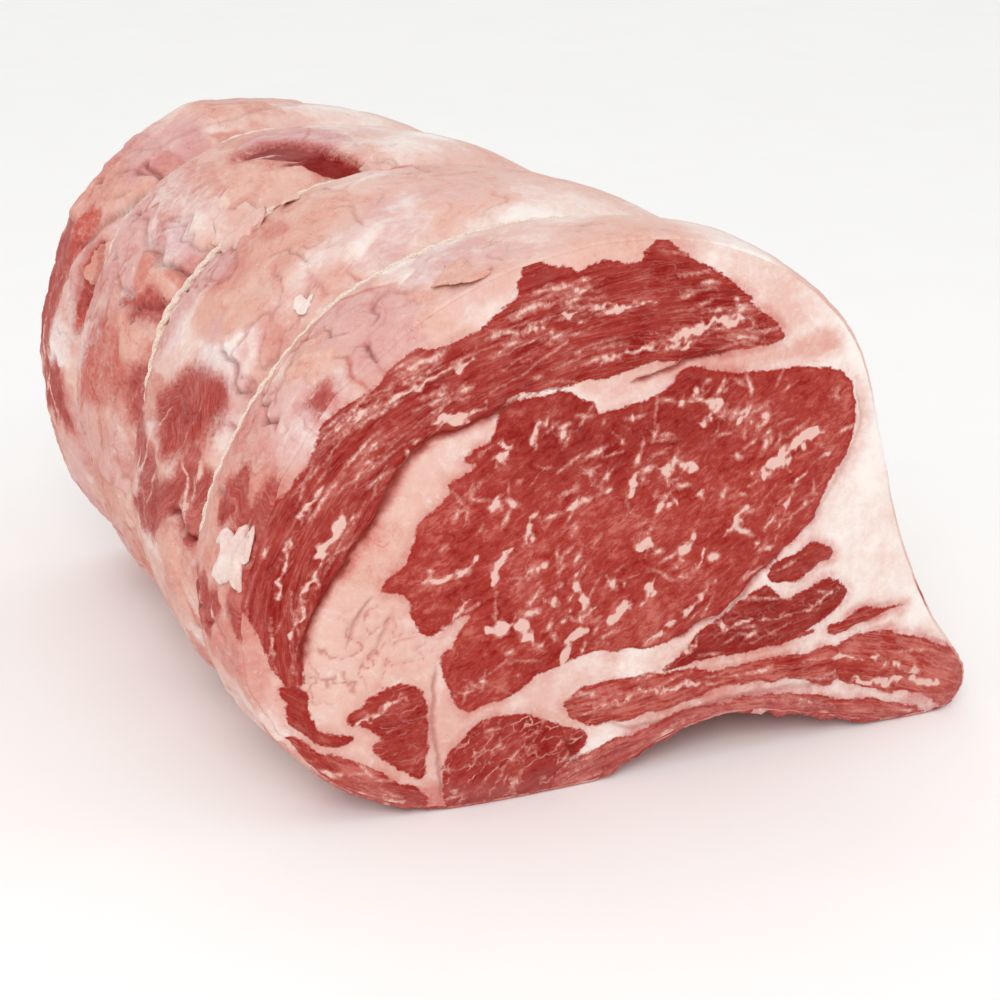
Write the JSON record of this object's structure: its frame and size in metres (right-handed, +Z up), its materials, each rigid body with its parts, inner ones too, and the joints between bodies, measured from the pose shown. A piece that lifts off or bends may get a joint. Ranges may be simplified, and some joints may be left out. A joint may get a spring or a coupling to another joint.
{
  "type": "raw beef rib roast",
  "caption": "Raw boneless beef rib roast with a flat marbled cut face, a thin rib-side lip and a creased fat cover, tied round with loops of kitchen twine.",
  "frame": {"origin": "middle of the base, on the table under the roast", "axes": "+Z up; +Y along the roast from the cut face to the far face; +X across it, from the thick lobe to the thin lip"},
  "size_m": [0.202, 0.2126, 0.1392],
  "materials": {
    "meat": "raw beef: red marbled muscle on the cut faces, creased pink-cream fat outside, slightly wet",
    "twine": "twisted undyed cotton, matt and slightly hairy"
  },
  "bodies": {
    "root": {"roast": "meat", "twine_near": "twine", "twine_middle": "twine", "twine_far": "twine"}
  },
  "joints": []
}
